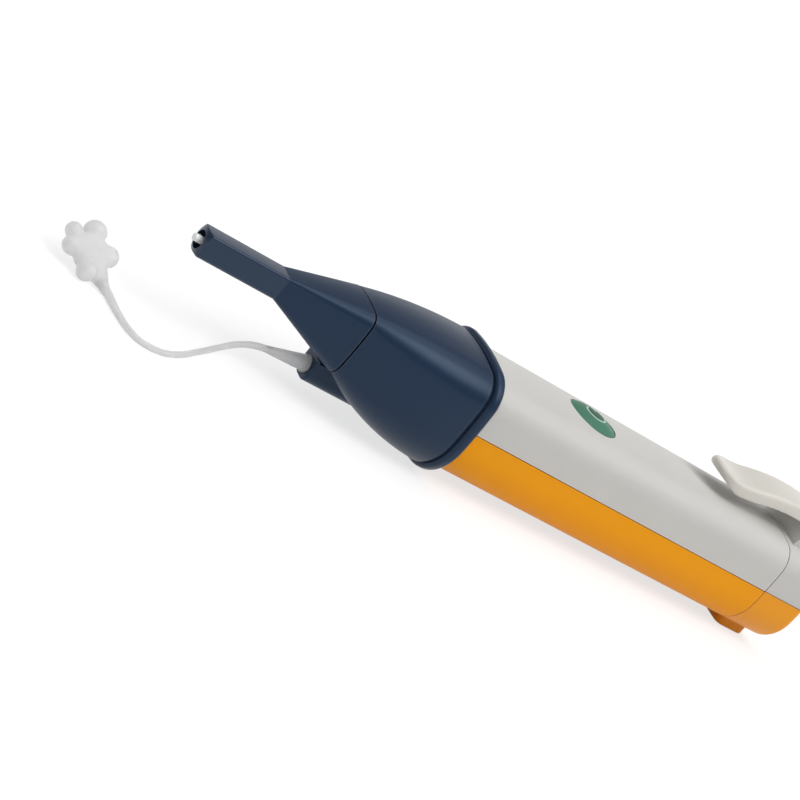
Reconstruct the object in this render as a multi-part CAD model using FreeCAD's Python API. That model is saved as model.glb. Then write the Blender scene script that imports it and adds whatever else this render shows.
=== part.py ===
import FreeCAD, Part
import math
import os

from FreeCAD import Rotation, Vector

# Pen-shaped tool that finds light in a live optical fibre. It lies on its underside with the snout
# towards -X and the button and pocket clip on top. Stations run along the tool from the rim of the
# snout's mouth, heights are measured from the tool's axis, and all sizes are in millimetres.

# Snout, flare and hood
SNOUT_LENGTH = 19.4
SNOUT_SIDE = 5.45
SNOUT_TOP_CORNER = 0.45
SNOUT_BOTTOM_CORNER = 0.9
SNOUT_DOME_RADIUS = 6.5
SNOUT_DOME_LEAD = 0.25
SNOUT_EDGE_ROUND = 0.3
SNOUT_BULGE = 60.0
PICKUP_HEIGHT = 4.3
MOUTH_RADIUS = 1.95
MOUTH_DEPTH = 7.0
FLARE_LENGTH = 18.0
SEAM_HALF_WIDTH = 7.6
SEAM_TOP = 10.5
SEAM_BOTTOM = 5.1
SEAM_TOP_CORNER = 2.6
SEAM_BOTTOM_CORNER = 3.2
SEAM_FACE_BULGE = 40.0
SEAM_SIDE_BULGE = 60.0
HOOD_LENGTH = 31.5
HOOD_WALL = 2.0
HOOD_STEP = 1.1
HOOD_STATIONS = 5
SKIN_POINTS = 6
NOZZLE_SPIGOT_LENGTH = 4.5
NOZZLE_SPIGOT_WALL = 1.2
RIM_THICKNESS = 2.6
RIM_STEP = 1.8
RIM_ROUND = 1.0
RIM_GROOVE_WIDTH = 0.8
RIM_GROOVE_DEPTH = 0.45

# Pickup ferrule, photodiode and its holder
FERRULE_RADIUS = 0.8
FERRULE_PROUD = 1.2
FERRULE_BEVEL = 0.15
FERRULE_SEAT = 1.0
HOLDER_SETBACK = 10.0
HOLDER_RADIUS = 3.3
HOLDER_LENGTH = 6.6
CAN_RADIUS = 2.3
CAN_LENGTH = 3.4
CAN_STANDOFF = 0.6
CAN_BASE_RADIUS = 2.7
CAN_BASE_LENGTH = 0.6
LEAD_RADIUS = 0.22
LEAD_PITCH = 2.54
LEAD_OVERLAP = 3.0

# Cells
CELL_DIAMETER = 10.3
CELL_LENGTH = 44.5
CELL_SPACING = 0.3
CELL_SIDE_ROOM = 0.45
CELL_EDGE_ROUND = 0.5
NUB_RADIUS = 1.9
NUB_LENGTH = 0.8

# Clamshell case
CASE_WALL = 1.6
CASE_TOP = 12.0
CASE_BOTTOM = 12.1
CASE_TOP_CORNER = 5.5
CASE_TOP_BULGE = 60.0
CASE_SIDE_BULGE = 90.0
CASE_BOTTOM_BULGE = 30.0
CASE_BOTTOM_CORNER = 9.0
PARTING_HEIGHT = 0.67
PARTING_GAP = 0.2
LIP_THICKNESS = 0.7
LIP_HEIGHT = 1.2
FRONT_SPIGOT_LENGTH = 8.5
FRONT_SPIGOT_STEP = 0.8
FRONT_SPIGOT_WALL = 1.4

# Power button and its switch
BUTTON_SETBACK = 30.7
BUTTON_RADIUS = 5.9
BUTTON_PROUD = 1.1
BUTTON_DOME = 1.3
BUTTON_CROWN = 1.2
BUTTON_WALL = 1.2
BUTTON_FLANGE_WIDTH = 1.1
BUTTON_FLANGE_THICKNESS = 0.8
BUTTON_STEM_RADIUS = 1.9
BUTTON_TRAVEL = 0.8
SWITCH_SIDE = 6.0
SWITCH_HEIGHT = 3.4
PLUNGER_RADIUS = 1.7
PLUNGER_PROUD = 1.1
PLUNGER_DEPTH = 1.4

# Circuit board and what it carries
BOARD_THICKNESS = 1.2
BOARD_HALF_WIDTH = 8.0
BOARD_TONGUE_HALF_WIDTH = 3.5
BOARD_TONGUE_SETBACK = 2.0
BOARD_TAIL = 6.2
POST_RADIUS = 2.2
FRONT_POST_SETBACK = 4.3
BACK_POST_SETBACK = 17.3
POST_SETBACKS = (FRONT_POST_SETBACK, BACK_POST_SETBACK)
SCREW_RADIUS = 0.8
SCREW_HEAD_RADIUS = 1.6
SCREW_HEAD_HEIGHT = 1.1
SCREW_LENGTH = 5.0
SCREW_SLOT_WIDTH = 0.45
SCREW_SLOT_DEPTH = 0.5
CHIP_SIDE = 5.0
CHIP_HEIGHT = 0.9
BUZZER_RADIUS = 4.2
BUZZER_HEIGHT = 3.0
BUZZER_HOLE_RADIUS = 0.7
LED_LENGTH = 2.0
LED_WIDTH = 1.25
LED_HEIGHT = 0.9
CAPACITOR_LENGTH = 1.6
CAPACITOR_WIDTH = 0.8
CAPACITOR_HEIGHT = 0.8
CAPACITOR_ROW = 5.0
RIB_THICKNESS = 1.4

# Battery tray and contacts
TRAY_WALL = 1.0
TRAY_TOP = -0.8
TRAY_FRONT_WALL = 1.5
TRAY_RIB_INSET = 5.0
CONTACT_THICKNESS = 0.3
CONTACT_WIDTH = 6.0
CONTACT_DROP = 7.0
CONTACT_TAIL = 2.4
DIMPLE_HEIGHT = 0.7
DIMPLE_BASE_RADIUS = 2.4
DIMPLE_TIP_RADIUS = 1.2
BRIDGE_HALF_HEIGHT = 3.0

# Tail cap and pocket clip
TAIL_LENGTH = 13.7
TAIL_ENGAGE = 5.0
TAIL_WALL = 1.3
TAIL_END_WALL = 1.8
TAIL_ROUND = 2.0
CARRIER_THICKNESS = 1.5
FOOT_SETBACK = 2.2
FOOT_LENGTH = 9.0
FOOT_WIDTH = 11.0
FOOT_CORNER = 2.0
FOOT_ROUND = 0.4
CLIP_LENGTH = 31.6
CLIP_WIDTH = 11.0
CLIP_THICKNESS = 3.1
CLIP_GAP = 2.4
CLIP_DIP_SETBACK = 5.6
CLIP_DIP_RADIUS = 28.0
CLIP_BEND_SETBACK = 11.6
CLIP_ARCH_RADIUS = 60.0
CLIP_EDGE_ROUND = 1.1
CLIP_PIVOT_SETBACK = 7.0
CLIP_PIVOT_RADIUS = 2.2
CLIP_ROOT_DROP = 0.2
NOSE_THICKNESS = 0.6
NOSE_LEAD = 0.6
CHIN_LENGTH = 5.4
CHIN_FULLNESS = 0.66
CHEEK_THICKNESS = 1.4
HUMP_SHOULDER = 0.75
HUMP_FULLNESS = 0.7

# Tether: plug in the socket under the nozzle, strap on the floor, dust cap
SOCKET_HEIGHT = 7.5
SOCKET_REACH = 1.6
SOCKET_HALF_WIDTH = 3.0
SOCKET_DROP = 2.9
SOCKET_CORNER = 2.2
SOCKET_ROUND = 0.5
SOCKET_ROOT = 13.0
SOCKET_ROOF = 3.3
SOCKET_DEPTH = 8.0
PLUG_RADIUS = 1.65
PLUG_LENGTH = 7.0
PLUG_RING_RADIUS = 1.9
PLUG_RING_THICKNESS = 0.7
PLUG_CONE_LENGTH = 8.5
PLUG_CONE_RADIUS = 1.7
PLUG_CONE_TIP_RADIUS = 0.75
PLUG_DROOP_DEG = 8.0
STRAP_RADIUS = 0.63
STRAP_LEAD = 2.0
CAP_HUB_RADIUS = 4.05
CAP_HUB_THICKNESS = 3.4
CAP_HUB_ROUND = 1.3
CAP_STEM_LENGTH = 1.7
CAP_STEM_BORE_DEPTH = 3.2
CAP_NECK_RADIUS = 1.94
CAP_NECK_TIP_RADIUS = 0.76
CAP_NECK_LEAD = 0.7
CAP_TILT_DEG = 25.4
CAP_TILT_AZIMUTH_DEG = -91.0
CAP_NECK_AZIMUTH_DEG = -35.4
CAP_STATION = -13.54
CAP_SIDE = 4.54

# Clearances
SEAM_GAP = 0.25
HOOD_GAP = 0.45
SLIP_GAP = 0.15
SNUG_GAP = 0.02
BUTTON_GAP = 0.15
CELL_GAP = 0.2
CLIP_SIDE_GAP = 0.25

# Stations that follow from the sizes
SEAM = SNOUT_LENGTH + FLARE_LENGTH
RIM_BACK = SEAM + HOOD_LENGTH
RIM_FRONT = RIM_BACK - RIM_THICKNESS
CASE_SHOULDER = RIM_BACK + SEAM_GAP
CASE_FRONT = RIM_BACK - FRONT_SPIGOT_LENGTH
BUTTON_STATION = RIM_BACK + BUTTON_SETBACK
BOARD_FRONT = SEAM + BOARD_TONGUE_SETBACK
BOARD_SHOULDER = CASE_FRONT + BOARD_TONGUE_SETBACK
BOARD_END = BUTTON_STATION + BOARD_TAIL
TRAY_FRONT = BOARD_END + SEAM_GAP
CONTACT_FRONT = TRAY_FRONT + TRAY_FRONT_WALL
CELL_FRONT = CONTACT_FRONT + CONTACT_THICKNESS
CELL_END = CELL_FRONT + CELL_LENGTH
CARRIER_FRONT = CELL_END + DIMPLE_HEIGHT + CONTACT_THICKNESS
CASE_END = CARRIER_FRONT + TAIL_ENGAGE
TAIL_FRONT = CASE_END + SEAM_GAP
TAIL_END = TAIL_FRONT + TAIL_LENGTH
HOLDER_FRONT = SEAM - HOLDER_SETBACK
HOLDER_END = HOLDER_FRONT + HOLDER_LENGTH
FERRULE_END = HOLDER_FRONT + FERRULE_SEAT
CAN_FRONT = FERRULE_END + CAN_STANDOFF
CAN_END = CAN_FRONT + CAN_LENGTH
CLIP_PIVOT = TAIL_END - CLIP_PIVOT_SETBACK
SOCKET_FRONT = SEAM - SOCKET_REACH
PLUG_CONE_BACK = SOCKET_FRONT - PLUG_RING_THICKNESS

# Heights and widths that follow from the sizes
CELL_RADIUS = CELL_DIAMETER / 2
CELL_SIDE = CELL_RADIUS + CELL_SPACING / 2
CASE_HALF_WIDTH = CELL_SIDE + CELL_RADIUS + CELL_SIDE_ROOM + CASE_WALL
AXIS_HEIGHT = CASE_BOTTOM + RIM_STEP
MID_STATION = (TAIL_END - FERRULE_PROUD) / 2
BOARD_TOP = PICKUP_HEIGHT - LEAD_RADIUS
BOARD_UNDERSIDE = BOARD_TOP - BOARD_THICKNESS
SWITCH_TOP = BOARD_TOP + SWITCH_HEIGHT
PLUNGER_TOP = SWITCH_TOP + PLUNGER_PROUD
BUTTON_TOP = CASE_TOP + BUTTON_PROUD
BUTTON_ROOF_DROP = (BUTTON_RADIUS + BUTTON_FLANGE_WIDTH) ** 2 / (2 * CASE_TOP_BULGE)
BUTTON_SHOULDER = CASE_TOP - CASE_WALL - BUTTON_ROOF_DROP - SLIP_GAP
CLIP_NOSE = CLIP_PIVOT - CLIP_LENGTH
CLIP_DIP = CLIP_NOSE + CLIP_DIP_SETBACK
CLIP_DIP_CENTRE = CASE_TOP + CLIP_GAP + CLIP_THICKNESS + CLIP_DIP_RADIUS
CLIP_LEAN = math.asin((CLIP_BEND_SETBACK - CLIP_DIP_SETBACK) / CLIP_DIP_RADIUS)
CLIP_APEX = CLIP_DIP + (CLIP_DIP_RADIUS + CLIP_ARCH_RADIUS) * math.sin(CLIP_LEAN)
CLIP_ARCH_CENTRE = CLIP_DIP_CENTRE - (CLIP_DIP_RADIUS + CLIP_ARCH_RADIUS) * math.cos(CLIP_LEAN)
MIN_CORNER = 0.25
OVERCUT = 1.0
TOUCH = 1e-3
STEEPEST_TOP = 0.5
STRAP_BEND_SHARE = 0.45
ALONG = Vector(1, 0, 0)
ACROSS = Vector(0, 1, 0)
UP = Vector(0, 0, 1)

# Strap route between the plug's cone and the cap's neck, then the neck's tip and knee, all as station,
# side and height above the floor
STRAP_ROUTE = (
    (22.3, 0.0, 4.15),
    (20.0, -0.2, 2.9),
    (17.9, -0.9, 1.7),
    (15.7, -2.3, 0.95),
    (13.3, -4.4, 0.65),
    (10.4, -7.1, 0.65),
    (7.3, -10.3, 0.65),
    (1.9, -14.4, 0.65),
    (-2.1, -15.6, 0.65),
    (-5.3, -14.9, 0.65),
    (-7.1, -12.3, 0.65),
    (-8.1, -8.6, 0.65),
    (-8.67, -5.2, 0.65),
    (-8.9, -3.0, 0.65),
)
CAP_NECK_TIP = (-9.48, -1.33, 0.95)
CAP_NECK_KNEE = (-11.26, 1.67, 2.02)

# Lobes of the soft cap as they lie: the turn from the neck in degrees, the distance from the hub's middle
# and the radius
CAP_LOBES = (
    (53.8, 3.9, 2.15),
    (123.8, 5.2, 2.4),
    (182.3, 5.2, 1.8),
    (223.8, 4.25, 2.05),
    (298.7, 4.8, 2.0),
)


def place(station, side, height):
    """A point of the model from its station, its side and its height above the tool's axis."""
    return Vector(station - MID_STATION, side, height + AXIS_HEIGHT)


def on_floor(station, side, above_floor):
    """A point of the model from its height above the floor."""
    return place(station, side, above_floor - AXIS_HEIGHT)


def save(name, shape):
    """Writes one piece, after a test that it is sound."""
    if not shape.isValid() or shape.Volume <= 0:
        raise ValueError(name + " is not a sound solid")
    shape.exportStep("parts/" + name + ".step")
    print(name, len(shape.Solids), round(shape.Volume, 2))


def crossing(first, first_radius, second, second_radius):
    """The crossing of two circles that lies further out to the side."""
    run_side = second[0] - first[0]
    run_height = second[1] - first[1]
    apart = math.hypot(run_side, run_height)
    along = (first_radius ** 2 - second_radius ** 2 + apart ** 2) / (2 * apart)
    across = math.sqrt(first_radius ** 2 - along ** 2)
    middle_side = first[0] + along * run_side / apart
    middle_height = first[1] + along * run_height / apart
    turned_side = -run_height / apart * across
    turned_height = run_side / apart * across
    if turned_side < 0:
        turned_side = -turned_side
        turned_height = -turned_height
    return middle_side + turned_side, middle_height + turned_height


class Section:
    """A symmetrical cross-section of eight tangent arcs: bulged top, sides and bottom, round corners."""

    FIELDS = ("half_width", "top", "bottom", "top_corner", "bottom_corner", "widest",
              "top_bulge", "side_bulge", "bottom_bulge")

    def __init__(self, **sizes):
        for field in self.FIELDS:
            setattr(self, field, sizes[field])

    def grown(self, step):
        """The section moved outwards by step, or inwards where step is negative."""
        sizes = {field: getattr(self, field) for field in self.FIELDS}
        for field in self.FIELDS:
            if field != "widest":
                sizes[field] += step
        sizes["bottom"] = self.bottom - step
        sizes["top_corner"] = max(self.top_corner + step, MIN_CORNER)
        sizes["bottom_corner"] = max(self.bottom_corner + step, MIN_CORNER)
        return Section(**sizes)

    def towards(self, other, share):
        """The section that lies that share of the way to another one."""
        sizes = {}
        for field in self.FIELDS:
            sizes[field] = (1 - share) * getattr(self, field) + share * getattr(other, field)
        return Section(**sizes)

    def half_outline(self):
        """Side and height of the outline's points on one side, top to bottom, with arc middles between."""
        points = []
        side_centre = (self.half_width - self.side_bulge, self.widest)
        ends = ((self.top - self.top_bulge, self.top_bulge, self.top_corner),
                (self.bottom + self.bottom_bulge, self.bottom_bulge, self.bottom_corner))
        for end_height, bulge, corner in ends:
            end_centre = (0, end_height)
            centre = crossing(end_centre, bulge - corner, side_centre, self.side_bulge - corner)
            out_end = ((centre[0] - end_centre[0]) / (bulge - corner),
                       (centre[1] - end_centre[1]) / (bulge - corner))
            reach = self.side_bulge - corner
            out_side = ((centre[0] - side_centre[0]) / reach, (centre[1] - side_centre[1]) / reach)
            middle = (out_end[0] + out_side[0], out_end[1] + out_side[1])
            length = math.hypot(*middle)
            corner_points = []
            for out in (out_end, (middle[0] / length, middle[1] / length), out_side):
                corner_points.append((centre[0] + out[0] * corner, centre[1] + out[1] * corner))
            points.append(corner_points)
        top, bottom = points
        return top + [(self.half_width, self.widest)] + bottom[::-1]

    def arcs(self, station):
        """The eight arcs of the outline at a station."""
        right = self.half_outline()
        left = [(-side, height) for side, height in right[::-1]]
        ring = right + [(0, self.bottom)] + left + [(0, self.top)]
        vectors = [place(station, side, height) for side, height in ring]
        vectors.append(vectors[0])
        return [Part.Arc(*vectors[start:start + 3]) for start in range(0, len(ring), 2)]

    def wire(self, station):
        """The closed outline at a station."""
        return Part.Wire([arc.toShape() for arc in self.arcs(station)])

    def smooth_wire(self, station):
        """The same outline as one closed curve, for skins that change along the tool."""
        points = []
        for arc in self.arcs(station):
            span = arc.LastParameter - arc.FirstParameter
            for index in range(SKIN_POINTS):
                points.append(arc.value(arc.FirstParameter + span * index / SKIN_POINTS))
        curve = Part.BSplineCurve()
        knots = [index / len(points) for index in range(len(points) + 1)]
        curve.interpolate(Points=points, PeriodicFlag=True, Parameters=knots)
        return Part.Wire(curve.toShape())

    def prism(self, start, end):
        """A straight bar of this section between two stations."""
        return Part.Face(self.wire(start)).extrude(ALONG * (end - start))


SNOUT_SECTION = Section(
    half_width=SNOUT_SIDE / 2,
    top=PICKUP_HEIGHT + SNOUT_SIDE / 2,
    bottom=PICKUP_HEIGHT - SNOUT_SIDE / 2,
    top_corner=SNOUT_TOP_CORNER,
    bottom_corner=SNOUT_BOTTOM_CORNER,
    widest=PICKUP_HEIGHT,
    top_bulge=SNOUT_BULGE,
    side_bulge=SNOUT_BULGE,
    bottom_bulge=SNOUT_BULGE,
)
SEAM_SECTION = Section(
    half_width=SEAM_HALF_WIDTH,
    top=SEAM_TOP,
    bottom=-SEAM_BOTTOM,
    top_corner=SEAM_TOP_CORNER,
    bottom_corner=SEAM_BOTTOM_CORNER,
    widest=PICKUP_HEIGHT,
    top_bulge=SEAM_FACE_BULGE,
    side_bulge=SEAM_SIDE_BULGE,
    bottom_bulge=SEAM_FACE_BULGE,
)
CASE_SECTION = Section(
    half_width=CASE_HALF_WIDTH,
    top=CASE_TOP,
    bottom=-CASE_BOTTOM,
    top_corner=CASE_TOP_CORNER,
    bottom_corner=CASE_BOTTOM_CORNER,
    widest=PARTING_HEIGHT,
    top_bulge=CASE_TOP_BULGE,
    side_bulge=CASE_SIDE_BULGE,
    bottom_bulge=CASE_BOTTOM_BULGE,
)
HOOD_SECTION = CASE_SECTION.grown(HOOD_STEP)
RIM_SECTION = CASE_SECTION.grown(RIM_STEP)
BAY_SECTION = CASE_SECTION.grown(-CASE_WALL)
NOZZLE_SPIGOT_SECTION = SEAM_SECTION.grown(-HOOD_WALL - SLIP_GAP)
FRONT_SPIGOT_SECTION = CASE_SECTION.grown(-FRONT_SPIGOT_STEP)
TAIL_SPIGOT_SECTION = BAY_SECTION.grown(-SLIP_GAP)
TAIL_BAY_SECTION = TAIL_SPIGOT_SECTION.grown(-TAIL_WALL)


def rod(radius, start, end, side=0.0, height=0.0):
    """A round bar along the tool between two stations."""
    return Part.makeCylinder(radius, end - start, place(start, side, height), ALONG)


def post(radius, station, side, bottom, top):
    """A round upright between two heights."""
    return Part.makeCylinder(radius, top - bottom, place(station, side, bottom), UP)


def block(start, end, side_low, side_high, bottom, top):
    """A box between two stations, sides and heights."""
    return Part.makeBox(end - start, side_high - side_low, top - bottom, place(start, side_low, bottom))


def edges_at(shape, station):
    """The edges of a shape that lie in the plane of a station."""
    plane = place(station, 0, 0).x
    found = []
    for edge in shape.Edges:
        if abs(edge.BoundBox.XMin - plane) < TOUCH and abs(edge.BoundBox.XMax - plane) < TOUCH:
            found.append(edge)
    return found


def arc_through(first, middle, last):
    """A circular edge through three points."""
    return Part.Arc(first, middle, last).toShape()


def hood_sections(step):
    """Stations and sections of the hood's curved skin, moved outwards by step."""
    start = SEAM + HOOD_GAP
    end = RIM_BACK - RIM_THICKNESS / 2
    rows = []
    for index in range(HOOD_STATIONS):
        share = index / (HOOD_STATIONS - 1)
        fullness = 1 - (1 - share) ** 2
        section = SEAM_SECTION.towards(HOOD_SECTION, fullness).grown(step)
        rows.append((start + share * (end - start), section))
    return rows


def flare(step):
    """The nozzle's flare from the snout to the seam, moved outwards by step."""
    front = SNOUT_SECTION.grown(step).wire(SNOUT_LENGTH)
    back = SEAM_SECTION.grown(step).wire(SEAM)
    return Part.makeLoft([front, back], True, True)


def probe_nozzle():
    """Square snout, flare and the spigot that enters the hood."""
    dome_middle = SNOUT_DOME_RADIUS - SNOUT_DOME_LEAD
    dome = Part.makeSphere(SNOUT_DOME_RADIUS, place(dome_middle, 0, PICKUP_HEIGHT), ALONG)
    behind = rod(SNOUT_DOME_RADIUS, dome_middle, SNOUT_LENGTH, 0, PICKUP_HEIGHT)
    snout = SNOUT_SECTION.prism(-SNOUT_DOME_LEAD, SNOUT_LENGTH).common(dome.fuse(behind)).removeSplitter()
    nose = [face for face in snout.Faces if isinstance(face.Surface, Part.Sphere)]
    snout = snout.makeFillet(SNOUT_EDGE_ROUND, nose[0].OuterWire.Edges)
    spigot_end = SEAM + NOZZLE_SPIGOT_LENGTH
    spigot = NOZZLE_SPIGOT_SECTION.prism(SEAM - NOZZLE_SPIGOT_WALL, spigot_end)
    body = snout.fuse([flare(0), spigot]).removeSplitter()
    bores = [
        rod(MOUTH_RADIUS, -OVERCUT, MOUTH_DEPTH, 0, PICKUP_HEIGHT),
        rod(FERRULE_RADIUS + SNUG_GAP, 0, HOLDER_FRONT + OVERCUT, 0, PICKUP_HEIGHT),
        rod(HOLDER_RADIUS + SNUG_GAP, HOLDER_FRONT, spigot_end + OVERCUT, 0, PICKUP_HEIGHT),
        NOZZLE_SPIGOT_SECTION.grown(-NOZZLE_SPIGOT_WALL).prism(HOLDER_END - SEAM_GAP, spigot_end + OVERCUT),
    ]
    return body.cut(bores)


def hood_collar():
    """Curved hood with its rolled rim behind a groove, the case socket and the tether socket."""
    skin = Part.makeLoft([section.smooth_wire(station) for station, section in hood_sections(0)], True)
    groove_front = RIM_FRONT - RIM_GROOVE_WIDTH
    groove_floor = HOOD_SECTION.grown(-RIM_GROOVE_DEPTH).prism(groove_front, RIM_BACK)
    groove = RIM_SECTION.prism(groove_front, RIM_BACK).cut(groove_floor)
    rim = RIM_SECTION.prism(RIM_FRONT, RIM_BACK)
    rim = rim.makeFillet(RIM_ROUND, edges_at(rim, RIM_FRONT) + edges_at(rim, RIM_BACK))
    inner = [section.smooth_wire(station) for station, section in hood_sections(-HOOD_WALL)]
    hollow = Part.makeLoft(inner, True)
    case_socket = FRONT_SPIGOT_SECTION.grown(SLIP_GAP).prism(CASE_FRONT - SEAM_GAP, RIM_BACK + OVERCUT)
    hole = rod(PLUG_RADIUS + SNUG_GAP, SOCKET_FRONT - OVERCUT, SOCKET_FRONT + SOCKET_DEPTH, 0, -SOCKET_HEIGHT)
    shell = skin.cut(groove).fuse(rim).cut(hollow).cut(case_socket)
    return shell.fuse(tether_socket()).removeSplitter().cut(hole)


def tether_socket():
    """Rounded block under the hood's front, clear of the flare above it."""
    bottom = -SOCKET_HEIGHT - SOCKET_DROP
    socket = block(SOCKET_FRONT, SEAM + SOCKET_ROOT, -SOCKET_HALF_WIDTH, SOCKET_HALF_WIDTH,
                   bottom, -SOCKET_ROOF)
    low_edges = []
    for edge in socket.Edges:
        box = edge.BoundBox
        if box.XLength > SOCKET_CORNER and abs(box.ZMin - place(0, 0, bottom).z) < TOUCH:
            low_edges.append(edge)
    socket = socket.makeFillet(SOCKET_CORNER, low_edges)
    front = [edge for edge in edges_at(socket, SOCKET_FRONT)
             if edge.BoundBox.ZMin < place(0, 0, -SOCKET_ROOF).z - TOUCH]
    socket = socket.makeFillet(SOCKET_ROUND, front)
    seam_room = SEAM_SECTION.grown(SEAM_GAP).prism(SEAM - OVERCUT, SEAM + HOOD_GAP)
    return socket.cut(flare(SEAM_GAP)).cut(seam_room)


def pickup_ferrule():
    """White guide rod from the snout's mouth to the photodiode."""
    guide = rod(FERRULE_RADIUS, -FERRULE_PROUD, FERRULE_END, 0, PICKUP_HEIGHT)
    return guide.makeChamfer(FERRULE_BEVEL, edges_at(guide, -FERRULE_PROUD) + edges_at(guide, FERRULE_END))


def detector_holder():
    """Round insert that lines the photodiode up with the ferrule."""
    insert = rod(HOLDER_RADIUS, HOLDER_FRONT, HOLDER_END, 0, PICKUP_HEIGHT)
    return insert.cut([
        rod(FERRULE_RADIUS + SNUG_GAP, HOLDER_FRONT - OVERCUT, CAN_FRONT, 0, PICKUP_HEIGHT),
        rod(CAN_RADIUS + SNUG_GAP, CAN_FRONT - SLIP_GAP, HOLDER_END + OVERCUT, 0, PICKUP_HEIGHT),
        rod(CAN_BASE_RADIUS + SNUG_GAP, CAN_END, HOLDER_END + OVERCUT, 0, PICKUP_HEIGHT),
    ])


def photodiode():
    """Metal can on its base, with two leads that lie on the board's tongue."""
    pieces = [rod(CAN_BASE_RADIUS, CAN_END, CAN_END + CAN_BASE_LENGTH, 0, PICKUP_HEIGHT)]
    for side in (-LEAD_PITCH / 2, LEAD_PITCH / 2):
        pieces.append(rod(LEAD_RADIUS, CAN_END, BOARD_FRONT + LEAD_OVERLAP, side, PICKUP_HEIGHT))
    can = rod(CAN_RADIUS, CAN_FRONT, CAN_END, 0, PICKUP_HEIGHT)
    return can.fuse(pieces).removeSplitter()


def case_shell():
    """The whole hollow case before it is parted in two."""
    barrel = CASE_SECTION.prism(CASE_SHOULDER, CASE_END)
    spigot = FRONT_SPIGOT_SECTION.prism(CASE_FRONT, CASE_SHOULDER + OVERCUT)
    bay_front = CASE_SHOULDER + CASE_WALL
    bay = BAY_SECTION.prism(bay_front, CASE_END + OVERCUT)
    throat = FRONT_SPIGOT_SECTION.grown(-FRONT_SPIGOT_WALL).prism(CASE_FRONT - OVERCUT, bay_front + OVERCUT)
    return barrel.fuse(spigot).cut([bay, throat])


def lip_ring(gap):
    """The tongue along the parting line, with a gap round it for the groove that takes it."""
    start = CASE_SHOULDER + 2 * CASE_WALL - gap
    end = CARRIER_FRONT - CASE_WALL + gap
    outer = BAY_SECTION.grown(LIP_THICKNESS + gap).prism(start, end)
    inner = BAY_SECTION.grown(-gap).prism(start - OVERCUT, end + OVERCUT)
    high = PARTING_HEIGHT + LIP_HEIGHT + gap
    low = PARTING_HEIGHT - LIP_HEIGHT
    band = block(start - OVERCUT, end + OVERCUT, -2 * CASE_HALF_WIDTH, 2 * CASE_HALF_WIDTH, low, high)
    return outer.cut(inner).common(band)


def half_space(low, high):
    """A slab wider and longer than the case between two heights."""
    reach = 2 * CASE_HALF_WIDTH
    return block(CASE_FRONT - OVERCUT, CASE_END + OVERCUT, -reach, reach, low, high)


def upper_case():
    """White half with the button hole and the two posts that carry the board."""
    half = case_shell().common(half_space(PARTING_HEIGHT + PARTING_GAP / 2, 2 * CASE_TOP))
    half = half.cut(lip_ring(SLIP_GAP))
    posts = []
    pilots = []
    for setback in POST_SETBACKS:
        station = CASE_SHOULDER + setback
        posts.append(post(POST_RADIUS, station, 0, BOARD_TOP, CASE_TOP - CASE_WALL / 2))
        pilots.append(post(SCREW_RADIUS + SNUG_GAP, station, 0,
                           BOARD_TOP - OVERCUT, BOARD_TOP + SCREW_LENGTH))
    hole = post(BUTTON_RADIUS + BUTTON_GAP, BUTTON_STATION, 0, BUTTON_SHOULDER, CASE_TOP + OVERCUT)
    return half.fuse(posts).removeSplitter().cut(pilots + [hole])


def lower_case():
    """Orange half with the parting tongue and the rib that backs the board under the button."""
    half = case_shell().common(half_space(-2 * CASE_BOTTOM, PARTING_HEIGHT - PARTING_GAP / 2))
    rib_front = BUTTON_STATION - RIB_THICKNESS / 2
    rib = CASE_SECTION.grown(-CASE_WALL / 2).prism(rib_front, rib_front + RIB_THICKNESS)
    rib_reach = BOARD_HALF_WIDTH - RIB_THICKNESS
    rib = rib.common(block(rib_front, rib_front + RIB_THICKNESS, -rib_reach, rib_reach,
                           -2 * CASE_BOTTOM, BOARD_UNDERSIDE))
    return half.fuse([lip_ring(0), rib]).removeSplitter()


def power_button():
    """Domed round cap with a retaining flange and the stem that meets the switch."""
    crown_edge = BUTTON_TOP - BUTTON_DOME
    dome_radius = (BUTTON_RADIUS ** 2 + BUTTON_DOME ** 2) / (2 * BUTTON_DOME)
    underside = crown_edge - BUTTON_CROWN
    flange_radius = BUTTON_RADIUS + BUTTON_FLANGE_WIDTH
    flange_bottom = BUTTON_SHOULDER - BUTTON_FLANGE_THICKNESS
    cap = post(BUTTON_RADIUS, BUTTON_STATION, 0, flange_bottom, BUTTON_TOP)
    ball = Part.makeSphere(dome_radius, place(BUTTON_STATION, 0, BUTTON_TOP - dome_radius))
    cap = cap.common(ball)
    flange = post(flange_radius, BUTTON_STATION, 0, flange_bottom, BUTTON_SHOULDER)
    recess = post(BUTTON_RADIUS - BUTTON_WALL, BUTTON_STATION, 0, flange_bottom - OVERCUT, underside)
    stem = post(BUTTON_STEM_RADIUS, BUTTON_STATION, 0, PLUNGER_TOP, underside + BUTTON_DOME)
    return cap.fuse(flange).cut(recess).fuse(stem).removeSplitter()


def tact_switch():
    """Switch housing on the board, with the well that its plunger moves in."""
    half = SWITCH_SIDE / 2
    housing = block(BUTTON_STATION - half, BUTTON_STATION + half, -half, half, BOARD_TOP, SWITCH_TOP)
    well_floor = SWITCH_TOP - PLUNGER_DEPTH - BUTTON_TRAVEL - SLIP_GAP
    return housing.cut(post(PLUNGER_RADIUS + SLIP_GAP, BUTTON_STATION, 0, well_floor, SWITCH_TOP + OVERCUT))


def switch_plunger():
    """Round plunger that the button's stem pushes."""
    return post(PLUNGER_RADIUS, BUTTON_STATION, 0, SWITCH_TOP - PLUNGER_DEPTH, PLUNGER_TOP)


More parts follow.
